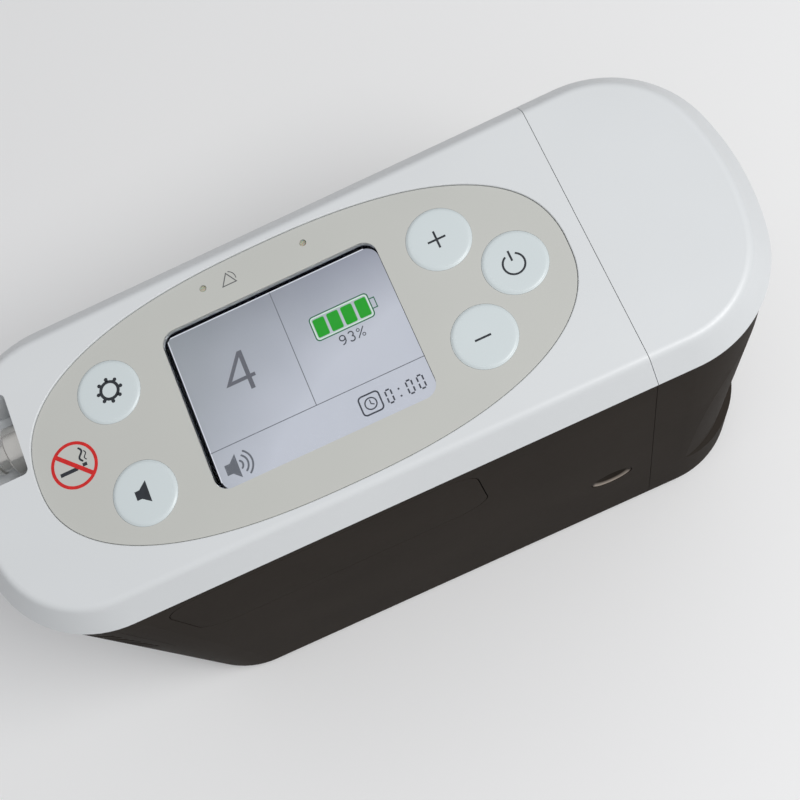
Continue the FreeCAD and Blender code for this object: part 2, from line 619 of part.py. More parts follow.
# ---------------------------------------------------------------- compressor
def make_compressor():
    cx, cz = CRANK
    block = box(cx - 17, cx + 17, -14, 14, cz - 18, cz + 18)
    block = fillet_along(block, 4, (0, 1, 0))
    hollow = box(cx - 15, cx + 15, -12, 12, cz - 16, cz + 16)
    foot = fillet_along(box(cx - 22, cx + 22, -21, 21, cz - 24, cz - 18), 4, (0, 0, 1))
    tools = [hollow]
    tools.append(cyl(7.0, (cx, -15, cz), (0, 1, 0), 30))
    tools.append(cyl(BORE_R, (cx - 30, 0, cz), (1, 0, 0), 60))
    export("crankcase", cut(fuse([block, foot]), *tools))
    cylinders = []
    heads = []
    for side, name in ((-1, "left"), (1, "right")):
        axis = (side, 0, 0)
        face = cx + side * 17
        barrel = [cyl(11.5, (face, 0, cz), axis, 18)]
        for fin in range(5):
            barrel.append(cyl(14.5, (face + side * (1.5 + 3.4 * fin), 0, cz), axis, 1.4))
        cylinders.append(fuse(barrel).cut(cyl(BORE_R, (face - side, 0, cz), axis, 30)))
        far_face = face + side * 18
        head = cyl(14.5, (far_face, 0, cz), axis, 8)
        head = head.makeFillet(1.5, edges_facing(head, far_face + side * 8))
        port = cyl(3.2, (far_face + side * 7, 0, cz), axis, 5)
        bore = cyl(1.5, (far_face + side * 3, 0, cz), axis, 12)
        heads.append(fuse([head, port]).cut(bore))
        crown = cyl(BORE_R - 0.05, (cx + side * 24, 0, cz), axis, 5)
        rod = cyl(2.5, (cx + side * 9, 0, cz), axis, 16)
        shoe = cyl(5.0, (cx + side * 7.9, 0, cz), axis, 1.6)
        export("piston_" + name, fuse([crown, rod, shoe]))
    export("compressor_cylinders", group(cylinders))
    export("cylinder_heads", group(heads))
    bearings = [ring(6.95, 3.05, (cx, y, cz), (0, 1, 0), 4) for y in (-14, 10)]
    export("crank_bearings", group(bearings))
    shaft = cyl(3.0, (cx, -13.5, cz), (0, 1, 0), 46)
    cam = cyl(6.0, (cx, -4, cz + THROW), (0, 1, 0), 8)
    magnet = cyl(13.0, (cx, 18, cz), (0, 1, 0), 14)
    export("crankshaft", fuse([shaft, cam, magnet]))
    can = cyl(17.0, (cx, 14.05, cz), (0, 1, 0), 21).cut(cyl(15.0, (cx, 13, cz), (0, 1, 0), 20.5))
    can = can.makeFillet(1.2, edges_at_y(can, 35.05))
    stator = ring(14.95, 13.4, (cx, 17, cz), (0, 1, 0), 15.5)
    export("motor_stator", group([can, stator]))
    pads = []
    for x in (cx - 17, cx + 17):
        for y in (-16, 16):
            pad = cyl(4.5, (x, y, FOOT_H + WALL), (0, 0, 1), cz - 24 - FOOT_H - WALL)
            groove = ring(5.0, 3.4, (x, y, FOOT_H + WALL + 3), (0, 0, 1), 2.5)
            pads.append(pad.cut(groove))
    export("rubber_isolators", group(pads))


def edges_facing(shape, x):
    """The edges that lie in the plane at x."""
    return [e for e in shape.Edges if abs(e.BoundBox.XMin - x) < 1e-4 and abs(e.BoundBox.XMax - x) < 1e-4]


def edges_at_y(shape, y):
    """The outermost edge that lies in the plane at y."""
    found = [e for e in shape.Edges if abs(e.BoundBox.YMin - y) < 1e-4 and abs(e.BoundBox.YMax - y) < 1e-4]
    return [max(found, key=lambda e: e.Length)]


# ---------------------------------------------------------------- fan and electronics
def make_fan():
    x, y, z = FAN
    half = FAN_SIZE / 2
    frame = box(x - FAN_T / 2, x + FAN_T / 2, y - half, y + half, z - half, z + half)
    frame = fillet_along(frame, 3, (1, 0, 0))
    frame = frame.cut(cyl(18.6, (x - FAN_T, y, z), (1, 0, 0), 2 * FAN_T))
    struts = [
        box(x + 4, x + 6, y - 19, y + 19, z - 1, z + 1),
        box(x + 4, x + 6, y - 1, y + 1, z - 19, z + 19),
    ]
    pin = [cyl(8.0, (x + 4, y, z), (1, 0, 0), 2), cyl(1.5, (x - 5, y, z), (1, 0, 0), 10)]
    export("fan_frame", fuse([frame] + struts + pin))
    hub = cyl(9.0, (x - 5.4, y, z), (1, 0, 0), 9.0)
    blades = []
    for number in range(7):
        blade = box(x - 5.0, x + 3.0, y - 0.5, y + 0.5, z + 8.0, z + 17.8)
        blade.rotate(Vector(x - 1, y, z + 12), Vector(0, 0, 1), 38)
        blade.rotate(Vector(x, y, z), Vector(1, 0, 0), 360.0 * number / 7)
        blades.append(blade)
    rotor = fuse([hub] + blades).common(cyl(17.9, (x - 5.4, y, z), (1, 0, 0), 9.0))
    export("fan_rotor", rotor.cut(cyl(1.55, (x - 5.2, y, z), (1, 0, 0), 12)))


def make_electronics():
    face = BOARD_FACE
    back = face + MAIN_BOARD_T
    board = box(-64, 18, face, back, 84, 142)
    posts = []
    holes = []
    for x in (-60, 14):
        for z in (88, 138):
            posts.append(cyl(2.6, (x, back, z), (0, 1, 0), 3.6))
            holes.append(cyl(1.3, (x, 0, z), (0, 1, 0), 60))
    sink = box(-42, -12, face - 7.5, face, 96, 128)
    channels = [box(x, x + 2.2, face - 8, face - 1.8, 95, 129) for x in [-40.5 + 4.3 * n for n in range(6)]]
    export("heatsink", cut(sink, *channels))
    parts = [cyl(4.0, (0, face - 9, z), (0, 1, 0), 9) for z in (96, 108)]
    parts.append(box(-60, -48, face - 6, face, 92, 112))
    parts.append(box(4, 14, face - 7, face, 120, 134))
    parts.append(box(-58, -50, face - 1.6, face, 118, 128))
    export("main_board", group([cut(board, *holes)] + [p.cut(h) for p, h in zip(posts, holes)] + parts))
    speaker = cyl(8.5, (29, face - 0.4, 96), (0, 1, 0), 4.5)
    export("speaker", fuse([speaker, cyl(5.0, (29, face - 2.4, 96), (0, 1, 0), 2.2)]))


def inlet_prism(grow, depth):
    """The inlet's rectangle in the left end wall, down to depth behind the end of the outline."""
    half_w, half_h = INLET_SIZE
    return box(-FAR, -LENGTH / 2 + depth, -half_w - grow, half_w + grow, INLET_Z - half_h - grow,
               INLET_Z + half_h + grow)


def make_inlet():
    """Power inlet in the left end wall, in a pocket under a rubber flap hinged along its top edge."""
    wall = -LENGTH / 2
    hinge_x, hinge_z = FLAP_HINGE
    half_w, half_h = INLET_SIZE
    barrel = cyl(INLET_R, (wall + 3.6, 0, INLET_Z), (1, 0, 0), 12)
    barrel = barrel.cut(cyl(2.8, (wall + 3, 0, INLET_Z), (1, 0, 0), 10))
    jack = fuse([barrel, cyl(1.0, (wall + 4.5, 0, INLET_Z), (1, 0, 0), 10)])
    rim = 1.2
    pocket = inlet_prism(0, 6.0).common(BODY)
    recess = inlet_prism(-rim, 3.9)
    pin = cyl(0.5, (hinge_x, -half_w, hinge_z), (0, 1, 0), 2 * half_w)
    hole = cyl(INLET_R + 0.02, (wall, 0, INLET_Z), (1, 0, 0), 20)
    export("power_inlet", group([fuse([cut(pocket, recess, hole), pin]), jack]))
    margin = rim + 0.3
    plate = inlet_prism(-margin, 6.0).common(BODY).cut(body(1.4))
    plate = plate.common(box(-FAR, 0, -FAR, FAR, 0, hinge_z))
    reach = half_w - margin
    knuckle = cyl(FLAP_KNUCKLE_R, (hinge_x, -reach, hinge_z), (0, 1, 0), 2 * reach)
    low = INLET_Z - half_h + margin
    lift = box(wall + 0.9, wall + 1.8, -3, 3, low + 0.2, low + 1.2)
    pin_hole = cyl(0.56, (hinge_x, -FAR, hinge_z), (0, 1, 0), 2 * FAR)
    export("inlet_flap", fuse([plate, knuckle, lift]).cut(pin_hole))


# ---------------------------------------------------------------- battery pack
def make_battery():
    face_x = SEAM_X + SEAM_GAP / 2
    export("battery_shell", BODY.cut(CAVITY).common(PACK_SIDE))
    export("battery_cap", cover_shell().common(PACK_SIDE))
    face = CAVITY.common(box(face_x, face_x + WALL, -FAR, FAR, 0, BAND_Z - 3.2))
    pegs = [cyl(PEG_R, (face_x - 4.6, y, z), (1, 0, 0), 6) for y, z in PEGS]
    terminals = [box(face_x - 4.5, face_x + 3, y - 0.4, y + 0.4, 62, 70) for y in TERMINALS]
    export("battery_inner_wall", cut(fuse([face] + pegs), latch_slot(), *terminals))
    export("battery_terminals", group(terminals))
    export("battery_board", box(face_x + 3, face_x + 4.6, -10, 10, 20, 72))
    cells = []
    for z in CELL_LAYERS:
        for x, y in CELLS:
            cell = cyl(CELL_R, (x, y, z), (0, 0, 1), CELL_L)
            cells.append(cell.makeFillet(0.8, rims(cell)))
    export("battery_cells", group(cells))
    low = CELL_LAYERS[0] + CELL_L
    holder = slab(7.4, low, CELL_LAYERS[1]).common(box(70.5, 103.5, -FAR, FAR, -FAR, FAR))
    export("cell_holder", holder)


def latch_slot():
    """The slot that the release latch reaches through, in both walls of the bay."""
    x, z = RELEASE
    return box(x + 7, x + 22, -WIDTH / 2 + 3.3, -WIDTH / 2 + 10, z - 4.5, z + 4.5)


def make_bay():
    x0, x1 = SEAM_X - SEAM_GAP / 2 - 3.2, SEAM_X - SEAM_GAP / 2
    wall = CAVITY.common(box(x0, x1, -FAR, FAR, 0, BAND_Z - 3.2))
    sockets = [cyl(PEG_R + 0.3, (x0 - 5, y, z), (1, 0, 0), 20) for y, z in PEGS]
    seat = box(RELEASE[0] - 4, x0 + 1, SPRING_SEAT, SPRING_SEAT + 1.0, RELEASE[1] - 6, RELEASE[1] + 6)
    connector_room = box(60, 75, -7, 7, 60, 72)
    export("bay_wall", cut(fuse([wall, seat]), latch_slot(), connector_room, *sockets))
    socket = box(x0 - 2.2, x1 - 0.1, -6.9, 6.9, 60.1, 71.9)
    slots = [box(x0 - 1.6, 75, y - 0.9, y + 0.9, 61.4, 70.6) for y in TERMINALS]
    export("battery_connector", cut(socket, *slots))


def make_release():
    """Dished push button, its latch arm, and the coil spring that pushes both back out."""
    x, z = RELEASE
    inner_face = -WIDTH / 2 + wall_inset(z) + WALL
    front = inner_face - WALL + 0.2
    cap = cyl(RELEASE_R, (x, front, z), (0, 1, 0), inner_face + 0.5 - front)
    flange = cyl(RELEASE_R + 1.6, (x, inner_face + 0.35, z), (0, 1, 0), 1.2)
    dish_r, dish_depth = RELEASE_DISH
    dish = Part.makeSphere(dish_r, Vector(x, front + dish_depth - dish_r, z))
    plate = inner_face + 1.55
    end = SEAM_X + 3.6
    arm = box(x - 5, end, plate, plate + 1.6, z - 3, z + 3)
    hook = box(end - 0.9, end, plate - 1.0, plate + 1.6, z - 3, z + 3)
    export("release_button", fuse([fuse([cap, flange]).cut(dish), arm, hook]))
    export("release_spring", coil_spring((x, plate + 1.6, z), SPRING_SEAT - plate - 1.6))


def coil_spring(start, length):
    """A compression spring along +Y, its wire bent in quarter-turn arcs."""
    climb = (length - 2 * SPRING_WIRE_R) / (4 * SPRING_TURNS)
    middle = Vector(start[0], start[1] + SPRING_WIRE_R, start[2])

    def point(quarters):
        angle = quarters * math.pi / 2
        turned = Vector(SPRING_R * math.cos(angle), climb * quarters, SPRING_R * math.sin(angle))
        return middle.add(turned)

    quarters = range(4 * SPRING_TURNS)
    arcs = [Part.Arc(point(n), point(n + 0.5), point(n + 1)).toShape() for n in quarters]
    heading = arcs[0].Curve.tangent(arcs[0].FirstParameter)[0]
    section = Part.Wire([Part.Circle(point(0), heading, SPRING_WIRE_R).toShape()])
    return Part.Wire(arcs).makePipeShell([section], True, True)


def main():
    export("top_cover", make_top_cover())
    export("control_panel", make_control_panel())
    make_display()
    for name, (x, y) in BUTTONS.items():
        export(name, make_button(x, y))
    make_keypad()
    make_shells()
    make_grilles()
    make_door()
    make_base()
    export("chassis", make_chassis())
    make_nozzle()
    make_sieve()
    make_tank()
    make_tubes()
    make_compressor()
    make_fan()
    make_electronics()
    make_inlet()
    make_battery()
    make_bay()
    make_release()


main()
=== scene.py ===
"""Looks of the portable oxygen concentrator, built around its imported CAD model.

Everything is in metres in the CAD frame: +X towards the battery pack, -Y towards the filter door, +Z up.
Flat graphics are drawn in millimetres about a centre taken from the frame.
"""

import json
import math

import bmesh
import bpy
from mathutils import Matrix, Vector, noise


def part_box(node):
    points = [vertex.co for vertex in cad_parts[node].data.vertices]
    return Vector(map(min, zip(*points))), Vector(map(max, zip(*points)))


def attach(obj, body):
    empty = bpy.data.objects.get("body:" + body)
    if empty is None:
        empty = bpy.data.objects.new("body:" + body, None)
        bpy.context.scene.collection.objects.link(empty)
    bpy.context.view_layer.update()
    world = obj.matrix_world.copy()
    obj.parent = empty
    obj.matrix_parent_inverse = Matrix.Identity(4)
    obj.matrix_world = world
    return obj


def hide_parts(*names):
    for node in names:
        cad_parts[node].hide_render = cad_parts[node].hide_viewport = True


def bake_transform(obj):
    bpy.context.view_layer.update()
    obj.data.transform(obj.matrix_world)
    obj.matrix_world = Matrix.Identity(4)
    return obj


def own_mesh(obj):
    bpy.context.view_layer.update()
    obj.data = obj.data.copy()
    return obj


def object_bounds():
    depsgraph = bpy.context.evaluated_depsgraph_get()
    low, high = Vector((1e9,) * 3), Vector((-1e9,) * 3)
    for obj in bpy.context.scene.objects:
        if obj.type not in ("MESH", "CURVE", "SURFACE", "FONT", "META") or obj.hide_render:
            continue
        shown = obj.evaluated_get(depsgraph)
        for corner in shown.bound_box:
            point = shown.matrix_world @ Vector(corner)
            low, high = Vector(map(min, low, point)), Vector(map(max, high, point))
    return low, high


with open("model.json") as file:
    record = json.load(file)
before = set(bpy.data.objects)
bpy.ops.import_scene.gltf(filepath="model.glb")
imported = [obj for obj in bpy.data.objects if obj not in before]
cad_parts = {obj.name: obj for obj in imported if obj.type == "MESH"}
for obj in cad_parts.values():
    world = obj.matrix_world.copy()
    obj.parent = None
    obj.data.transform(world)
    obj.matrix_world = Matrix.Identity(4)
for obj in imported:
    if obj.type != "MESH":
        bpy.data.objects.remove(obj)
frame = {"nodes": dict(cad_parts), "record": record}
cad_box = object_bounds()
nodes = frame["nodes"]
scene = bpy.context.scene

MM = 0.001
FRAME_EDGE = 0.6 * MM        # pale top of the display's gasket
BOARD_T = 1.6 * MM           # thickness of a plain circuit board
MAIN_BOARD_FACE = 33.4 * MM  # the main board's inner face, along Y
RELEASE_FLANGE_R = 8.2 * MM  # radius of the release button's flange behind the wall

# Flat graphics, in millimetres
INK_SUNK = 0.01         # how far a print reaches into what it is printed on
INK_HEIGHT = 0.04       # how far the lowest strokes stand above it
LAYER = 0.012           # step between the heights of strokes that may cross
LAYERS = 5              # heights in use before they start again
ABOVE_MEMBRANE = 0.055  # from a button's top to the top of its membrane
ABOVE_SCREEN = 0.06     # from the display's face to what is drawn over its lit background
LEFT_STRIP = 0.9        # dark strips beside the lit background
TOP_STRIP = 0.4

# Section of a button's membrane: radius, and height above the control panel, in millimetres
MEMBRANE_TOP = ((0.0, 0.405), (4.0, 0.403), (6.9, 0.395), (7.6, 0.375), (7.95, 0.330), (8.2, 0.220),
                (8.35, 0.110), (8.5, 0.030), (8.65, 0.004))
MEMBRANE_UNDERSIDE = ((8.35, 0.003), (8.2, 0.060), (7.95, 0.240), (7.6, 0.330), (7.0, 0.360), (0.0, 0.365))

BUTTONS = ("plus_button", "minus_button", "power_button", "settings_button", "mute_button")


# ---------------------------------------------------------------- materials
class Material:
    """A Principled material whose colour, roughness and bump come from procedural textures."""

    def __init__(self, name, colour, roughness, **sockets):
        self.data = bpy.data.materials.new(name)
        self.data.use_nodes = True
        self.tree = self.data.node_tree
        self.shader = self.tree.nodes["Principled BSDF"]
        self.shader.inputs["Base Color"].default_value = (*colour, 1)
        self.shader.inputs["Roughness"].default_value = roughness
        for socket, value in sockets.items():
            self.shader.inputs[socket.replace("_", " ")].default_value = value
        self.colour = colour
        self.place = self.add("ShaderNodeTexCoord").outputs["Object"]

    def add(self, kind, **inputs):
        node = self.tree.nodes.new(kind)
        for socket, value in inputs.items():
            self.put(value, node.inputs[socket.replace("_", " ")])
        return node

    def put(self, value, socket):
        """Sets a socket to a value, or links it to another node's output."""
        if isinstance(value, bpy.types.NodeSocket):
            self.tree.links.new(value, socket)
        else:
            socket.default_value = value

    def set(self, socket, value):
        self.put(value, self.shader.inputs[socket])

    def stretched(self, scale):
        """The object's coordinates, scaled along each axis."""
        return self.add("ShaderNodeMapping", Vector=self.place, Scale=scale).outputs["Vector"]

    def noise(self, scale, detail=2.0, place=None):
        node = self.add("ShaderNodeTexNoise", Vector=place or self.place, Scale=scale, Detail=detail)
        return node.outputs["Fac"]

    def cells(self, scale, feature="F1"):
        node = self.add("ShaderNodeTexVoronoi", Vector=self.place, Scale=scale)
        node.feature = feature
        return node.outputs["Distance"]

    def axis(self, name):
        return self.add("ShaderNodeSeparateXYZ", Vector=self.place).outputs[name]

    def math(self, operation, first, second):
        node = self.tree.nodes.new("ShaderNodeMath")
        node.operation = operation
        self.put(first, node.inputs[0])
        self.put(second, node.inputs[1])
        return node.outputs[0]

    def between(self, value, low, high, first=0.0, last=1.0):
        """Maps value from low..high to first..last."""
        node = self.add("ShaderNodeMapRange", Value=value, From_Min=low, From_Max=high,
                        To_Min=first, To_Max=last)
        return node.outputs["Result"]

    def mix(self, share, first, second):
        node = self.tree.nodes.new("ShaderNodeMix")
        node.data_type = "RGBA"
        colours = [s for s in node.inputs if s.type == "RGBA"]
        self.put(share, node.inputs["Factor"])
        for value, socket in zip((first, second), colours):
            self.put(value if isinstance(value, bpy.types.NodeSocket) else (*value, 1), socket)
        return [s for s in node.outputs if s.type == "RGBA"][0]

    def cloudy(self, other, scale):
        """Lets the colour drift slowly towards another one."""
        share = self.between(self.noise(scale), 0.35, 0.65)
        self.set("Base Color", self.mix(share, self.colour, other))
        return self

    def uneven(self, low, high, scale):
        """Lets the roughness vary between two values."""
        self.set("Roughness", self.between(self.noise(scale, 3.0), 0.35, 0.65, low, high))
        return self

    def bump(self, *layers):
        """Adds relief; each layer is a height and its depth in metres."""
        normal = None
        for height, depth in layers:
            node = self.add("ShaderNodeBump", Height=height, Strength=1.0, Distance=depth)
            if normal is not None:
                self.put(normal, node.inputs["Normal"])
            normal = node.outputs["Normal"]
        self.set("Normal", normal)
        return self


def tinted(colour, factor):
    return tuple(min(1.0, channel * factor) for channel in colour)


def moulded(name, colour, roughness, spread=0.06, grain=2600, depth=0.000012, gloss=0.03, **sockets):
    """Moulded plastic: fine spark-eroded grain, slight flow clouds, and gloss that varies by that much."""
    made = Material(name, colour, roughness, **sockets)
    made.cloudy(tinted(colour, 1 - spread), 22)
    made.uneven(roughness - gloss, roughness + gloss, 700)
    return made.bump((made.noise(grain, 3.0), depth))


def metal(name, colour, roughness, lay, depth=0.000004):
    """Machined or drawn metal; lay is how much finer its marks are along each axis."""
    made = Material(name, colour, roughness, Metallic=1.0)
    marks = made.noise(1.0, 4.0, made.stretched(lay))
    made.cloudy(tinted(colour, 0.8), 90)
    made.set("Roughness", made.between(marks, 0.3, 0.7, roughness - 0.08, roughness + 0.12))
    return made.bump((marks, depth))


def white_plastic():
    return moulded("white_plastic", (0.71, 0.73, 0.745), 0.36, spread=0.025, depth=0.000005)


def panel_plastic():
    return moulded("panel_plastic", (0.550, 0.555, 0.525), 0.58, spread=0.03, grain=3600, depth=0.000006)


def button_plastic():
    return moulded("button_plastic", (0.645, 0.705, 0.72), 0.33, spread=0.02, grain=3600, depth=0.000004,
                   Specular_IOR_Level=0.45)


def dark_plastic():
    return moulded("dark_plastic", (0.036, 0.0295, 0.0245), 0.45, spread=0.1, grain=2100, depth=0.000003,
                   gloss=0.01, IOR=1.03)


def black_plastic():
    return moulded("black_plastic", (0.014, 0.014, 0.015), 0.5, spread=0.2, grain=1800, depth=0.00002)


def release_plastic():
    """Dark plastic, with a painted highlight along the lower rim of the button's dish."""
    dark = (0.026, 0.0215, 0.0175)
    made = moulded("release_plastic", dark, 0.42, depth=0.000003, gloss=0.01, IOR=1.05)
    lo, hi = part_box("release_button")
    side = made.math("SUBTRACT", made.axis("X"), lo.x + RELEASE_FLANGE_R)
    up = made.math("SUBTRACT", made.axis("Z"), hi.z - RELEASE_FLANGE_R)
    squares = made.math("ADD", made.math("MULTIPLY", side, side), made.math("MULTIPLY", up, up))
    radius = made.math("POWER", squares, 0.5)
    # the pale colour along the dish's lower rim is a painted highlight
    outside = made.between(radius, 5.3 * MM, 6.2 * MM)
    below = made.between(up, -0.5 * MM, -3.0 * MM)
    painted_highlight = made.math("MULTIPLY", outside, below)
    made.set("Base Color", made.mix(painted_highlight, dark, (0.33, 0.285, 0.245)))
    return made


def display_frame():
    """Black gasket round the display, with the pale edge of the overlay above it."""
    black = (0.002, 0.0025, 0.006)
    made = moulded("display_frame", black, 0.6, depth=0.000004, Specular_IOR_Level=0.0)
    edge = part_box("display_frame")[1].z - FRAME_EDGE
    share = made.between(made.axis("Z"), edge - 0.02 * MM, edge + 0.02 * MM)
    made.set("Base Color", made.mix(share, black, (0.40, 0.42, 0.44)))
    return made


def window_glass():
    """Thin clear window: it mirrors a little and doesn't shift what lies under it."""
    made = Material("window_glass", (0.98, 0.985, 1.0), 0.0, IOR=1.02, Transmission_Weight=1.0,
                    Coat_Weight=0.12)
    return made.cloudy((0.96, 0.97, 0.99), 40)


def clear_plastic():
    made = Material("clear_plastic", (0.90, 0.93, 0.94), 0.08, IOR=1.49, Transmission_Weight=1.0)
    made.cloudy((0.87, 0.90, 0.91), 40)
    return made.uneven(0.07, 0.12, 200)


def light_pipe():
    made = Material("light_pipe", (0.50, 0.47, 0.36), 0.4, Subsurface_Weight=0.5, Subsurface_Scale=0.001)
    made.cloudy((0.40, 0.38, 0.30), 900)
    return made.bump((made.noise(2500), 0.00001))


def display_panel():
    return moulded("display_panel", (0.002, 0.0025, 0.006), 0.5, depth=0.000003, Specular_IOR_Level=0.1)


def rubber():
    return moulded("rubber", (0.03, 0.03, 0.032), 0.72, spread=0.3, grain=1500, depth=0.00003,
                   Sheen_Weight=0.15)


def circuit_board(name, axis, low, high):
    """Green board with copper tracks; what stands off its two faces is a black component."""
    made = Material(name, (0.01, 0.10, 0.035), 0.35)
    tracks = made.add("ShaderNodeTexBrick", Vector=made.place, Scale=260.0, Mortar_Size=0.012)
    solder = made.mix(tracks.outputs["Fac"], (0.008, 0.085, 0.03), (0.03, 0.20, 0.06))
    position = made.axis(axis)
    above = made.math("GREATER_THAN", position, high + 0.05 * MM)
    below = made.math("LESS_THAN", position, low - 0.05 * MM)
    made.set("Base Color", made.mix(made.math("ADD", above, below), solder, (0.018, 0.018, 0.02)))
    return made.bump((tracks.outputs["Fac"], 0.00003), (made.noise(1500), 0.00001))


def sieve_beads():
    made = Material("sieve_beads", (0.72, 0.66, 0.54), 0.8)
    beads = made.cells(620)
    # darker towards the gaps between the beads: painted shade
    made.set("Base Color", made.mix(made.between(beads, 0.2, 0.7), (0.76, 0.70, 0.58), (0.30, 0.26, 0.20)))
    return made.bump((made.between(beads, 0.0, 0.8, 1.0, 0.0), 0.0006))


def filter_foam():
    """Open-cell foam: pale struts over holes darkened with painted shade."""
    made = Material("filter_foam", (0.05, 0.05, 0.052), 0.9)
    holes = made.between(made.cells(900, "SMOOTH_F1"), 0.15, 0.55)
    # the near-black colour in the holes is painted shade
    made.set("Base Color", made.mix(holes, (0.006, 0.006, 0.007), (0.075, 0.075, 0.08)))
    return made.bump((holes, 0.0005), (made.noise(1900, 3.0), 0.00015))


def silicone():
    return moulded("silicone", (0.70, 0.71, 0.71), 0.45, depth=0.00001, Subsurface_Weight=0.6,
                   Subsurface_Scale=0.003)


def cell_wrap():
    """Blue shrink wrap round each cell, open at its metal ends."""
    made = Material("cell_wrap", (0.02, 0.10, 0.30), 0.3, Coat_Weight=0.4)
    coordinates = made.add("ShaderNodeTexCoord").outputs["Normal"]
    upright = made.add("ShaderNodeSeparateXYZ", Vector=coordinates).outputs["Z"]
    end = made.math("GREATER_THAN", made.math("ABSOLUTE", upright, 0.0), 0.95)
    made.set("Base Color", made.mix(end, (0.02, 0.10, 0.30), (0.55, 0.55, 0.56)))
    made.set("Metallic", end)
    return made.bump((made.noise(250, 2.0), 0.00003))


def ink(name, colour, roughness=0.5):
    made = Material(name, colour, roughness)
    made.cloudy(tinted(colour, 0.8), 700)
    return made.bump((made.noise(3000), 0.000004))


def lit(name, colour):
    """Part of the lit display, whose brightness drifts slightly."""
    made = Material(name, (0.01, 0.01, 0.012), 0.3, Specular_IOR_Level=0.1, Emission_Strength=1.0)
    made.set("Emission Color", made.mix(made.noise(120), colour, tinted(colour, 0.96)))
    return made


def screen_light(centre, half_w, half_h):
    """The display's background: grey along the top, brightened towards the lower right by a painted
    reflection.
    """
    made = lit("screen_light", (0.4, 0.4, 0.45))
    across = made.between(made.axis("X"), centre[0] - half_w, centre[0] + half_w)
    down = made.between(made.axis("Y"), centre[1] + half_h, centre[1] - half_h)
    # the brightening downwards and to the right is a painted reflection in the display's emission
    steepness = made.between(across, 0.0, 1.0, 0.65, 2.3)
    share = made.math("ADD", made.math("MULTIPLY", down, steepness), made.math("MULTIPLY", across, 0.05))
    cloud = made.between(made.noise(45, 1.0), 0.3, 0.7, -0.06, 0.06)
    dim = made.mix(across, (0.272, 0.294, 0.314), (0.275, 0.292, 0.350))
    share = made.between(made.math("ADD", share, cloud), 0.0, 1.0)
    made.set("Emission Color", made.mix(share, dim, (0.530, 0.555, 0.615)))
    return made


MATERIALS = {
    "white_plastic": white_plastic(),
    "panel_plastic": panel_plastic(),
    "button_plastic": button_plastic(),
    "dark_plastic": dark_plastic(),
    "black_plastic": black_plastic(),
    "window_glass": window_glass(),
    "display_panel": display_panel(),
    "rubber": rubber(),
    "nozzle_steel": metal("nozzle_steel", (0.86, 0.84, 0.80), 0.16, (2500, 40, 40), 0.000001),
    "steel": metal("steel", (0.52, 0.52, 0.53), 0.3, (900, 900, 900)),
    "aluminium": metal("aluminium", (0.66, 0.67, 0.69), 0.4, (500, 500, 1800), 0.00001),
    "sieve_beads": sieve_beads(),
    "filter_foam": filter_foam(),
    "clear_plastic": clear_plastic(),
    "silicone": silicone(),
    "cell_wrap": cell_wrap(),
    "terminal_brass": metal("terminal_brass", (0.78, 0.60, 0.27), 0.25, (300, 300, 2500)),
    "motor_steel": moulded("motor_steel", (0.05, 0.05, 0.055), 0.4, Metallic=0.6),
    "moulded_plastic": moulded("moulded_plastic", (0.24, 0.25, 0.27), 0.5, spread=0.1),
}


def display_board():
    """The display's board, at the bottom of its node's box, with components above it."""
    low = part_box("display_board")[0].z
    return circuit_board("circuit_display_board", "Z", low, low + BOARD_T)


def battery_board():
    lo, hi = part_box("battery_board")
    return circuit_board("circuit_battery_board", "X", lo.x, hi.x)


def paint_frame():
    """Gives every CAD node the material of its slot in the record."""
    special = {
        "display_frame": display_frame(),
        "indicator_light_pipes": light_pipe(),
        "release_button": release_plastic(),
        "display_board": display_board(),
        "battery_board": battery_board(),
        "main_board": circuit_board("circuit_main_board", "Y", MAIN_BOARD_FACE, MAIN_BOARD_FACE + BOARD_T),
    }
    for entry in frame["record"]["subparts"]:
        name = entry["node"]
        made = special.get(name) or MATERIALS[entry["material_slot"]]
        for material_slot in nodes[name].material_slots:
            material_slot.material = made.data


# ---------------------------------------------------------------- flat graphics, in millimetres
def middle_of(node, raised=0.0):
    """The centre of a node's top face, raised by so many millimetres."""
    lo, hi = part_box(node)
    return ((lo.x + hi.x) / 2, (lo.y + hi.y) / 2, hi.z + raised * MM)


def arc(centre, radius, first, last, steps=24):
    """Points of an arc; angles in degrees, anticlockwise from +X."""
    points = []
    for step in range(steps + 1):
        angle = math.radians(first + (last - first) * step / steps)
        points.append((centre[0] + radius * math.cos(angle), centre[1] + radius * math.sin(angle)))
    return points


def rounded(x0, x1, y0, y1, radius, steps=8):
    """Outline of a rectangle with rounded corners."""
    corners = ((x1 - radius, y1 - radius, 0), (x0 + radius, y1 - radius, 90),
               (x0 + radius, y0 + radius, 180), (x1 - radius, y0 + radius, 270))
    points = []
    for x, y, start in corners:
        points += arc((x, y), radius, start, start + 90, steps)
    return points


def circle(centre, radius, steps=24):
    return arc(centre, radius, 0, 360, steps)[:-1]


def moved(points, distance, closed):
    """A line moved sideways, with mitred corners."""
    count = len(points)
    line = []
    for index, point in enumerate(points):
        sides = []
        for near, far in ((index - 1, index), (index, index + 1)):
            if closed or (near >= 0 and far < count):
                run = Vector(points[far % count]) - Vector(points[near % count])
                sides.append(Vector((-run.y, run.x)).normalized())
        side = sum(sides, Vector((0, 0))).normalized()
        line.append(Vector(point) + side * (distance / side.dot(sides[0])))
    return line


